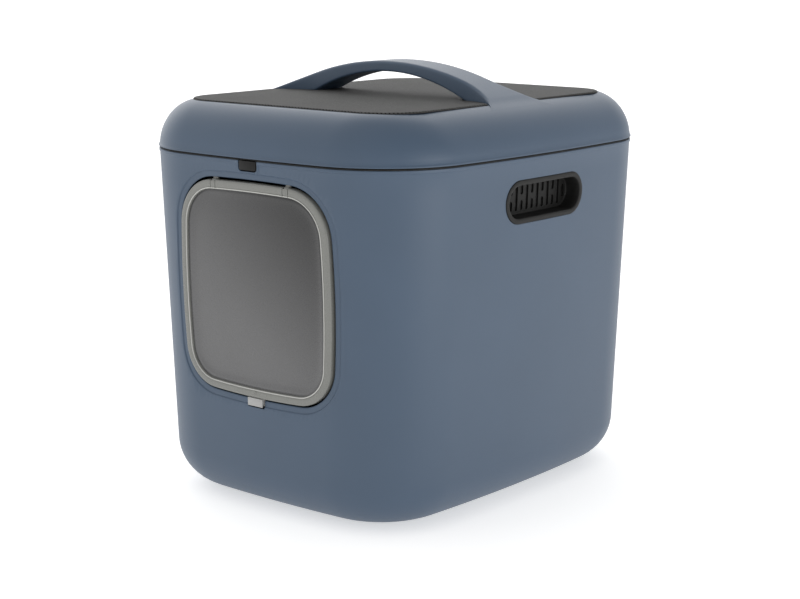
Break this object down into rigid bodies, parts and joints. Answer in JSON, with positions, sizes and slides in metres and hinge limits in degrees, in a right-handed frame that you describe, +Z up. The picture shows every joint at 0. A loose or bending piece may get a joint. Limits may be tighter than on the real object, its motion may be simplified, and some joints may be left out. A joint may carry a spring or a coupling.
{
  "type": "hooded cat litter box",
  "caption": "Tall hooded litter box: deep rounded tub with a swinging locking door flap, side grips with filters, and a hinged dome lid with an arched handle.",
  "frame": {"origin": "middle of the box's base, on the surface that the feet stand on", "axes": "+Z up, -Y out of the front door, +X to the right seen from the front"},
  "size_m": [0.4024, 0.4864, 0.4637],
  "materials": {
    "blue_shell": "satin moulded polypropylene, slate blue",
    "charcoal_trim": "matt moulded, charcoal",
    "flap_trim": "satin moulded, warm grey",
    "flap_smoke": "smoked, satin",
    "lock_white": "satin, off-white",
    "mat_rubber": "matt, finely textured",
    "black_rubber": "matt",
    "filter_pad": "carbon-loaded felt",
    "steel": "zinc-plated"
  },
  "bodies": {
    "tub": {"body_tub": "blue_shell", "vent_cup_right": "charcoal_trim", "vent_cup_left": "charcoal_trim", "carbon_filter_right": "filter_pad", "carbon_filter_left": "filter_pad", "filter_cover_right": "charcoal_trim", "filter_cover_left": "charcoal_trim", "filter_screws": "steel", "flap_bracket_right": "flap_trim", "flap_bracket_left": "flap_trim", "bracket_screws": "steel", "latch_catch": "charcoal_trim", "catch_screws": "steel", "tub_hinge_leaf_right": "charcoal_trim", "tub_hinge_leaf_left": "charcoal_trim", "tub_leaf_screws": "steel", "lid_hinge_pins": "steel", "foot_front_left": "black_rubber", "foot_front_right": "black_rubber", "foot_rear_left": "black_rubber", "foot_rear_right": "black_rubber"},
    "lid": {"lid_shell": "blue_shell", "lid_liner": "charcoal_trim", "rim_seal": "black_rubber", "liner_screws": "steel", "top_mat": "mat_rubber", "latch_pin": "steel", "latch_spring": "steel", "lid_hinge_leaf_right": "charcoal_trim", "lid_hinge_leaf_left": "charcoal_trim", "lid_leaf_screws": "steel"},
    "flap": {"flap_frame": "flap_trim", "flap_panel": "flap_smoke", "flap_pins": "steel", "lock_cover": "flap_trim"},
    "lock": {"flap_lock_slider": "lock_white"},
    "latch": {"lid_latch": "charcoal_trim"}
  },
  "joints": [
    {"name": "lid_hinge", "type": "hinge", "parent": "tub", "child": "lid", "pos_m": [0, 0.2412, 0.3758], "axis": [-1, 0, 0], "range_deg": [0, 100]},
    {"name": "flap_hinge", "type": "hinge", "parent": "tub", "child": "flap", "pos_m": [0, -0.2348, 0.34908], "axis": [1, 0, 0], "range_deg": [-45, 80]},
    {"name": "lock_slide", "type": "slide", "parent": "flap", "child": "lock", "axis": [0, 0.0262, -0.9997], "range_m": [0, 0.004]},
    {"name": "latch_hinge", "type": "hinge", "parent": "lid", "child": "latch", "pos_m": [0, -0.2366, 0.3725], "axis": [-1, 0, 0], "range_deg": [0, 20], "stiffness_Nm_per_rad": 0.05}
  ]
}
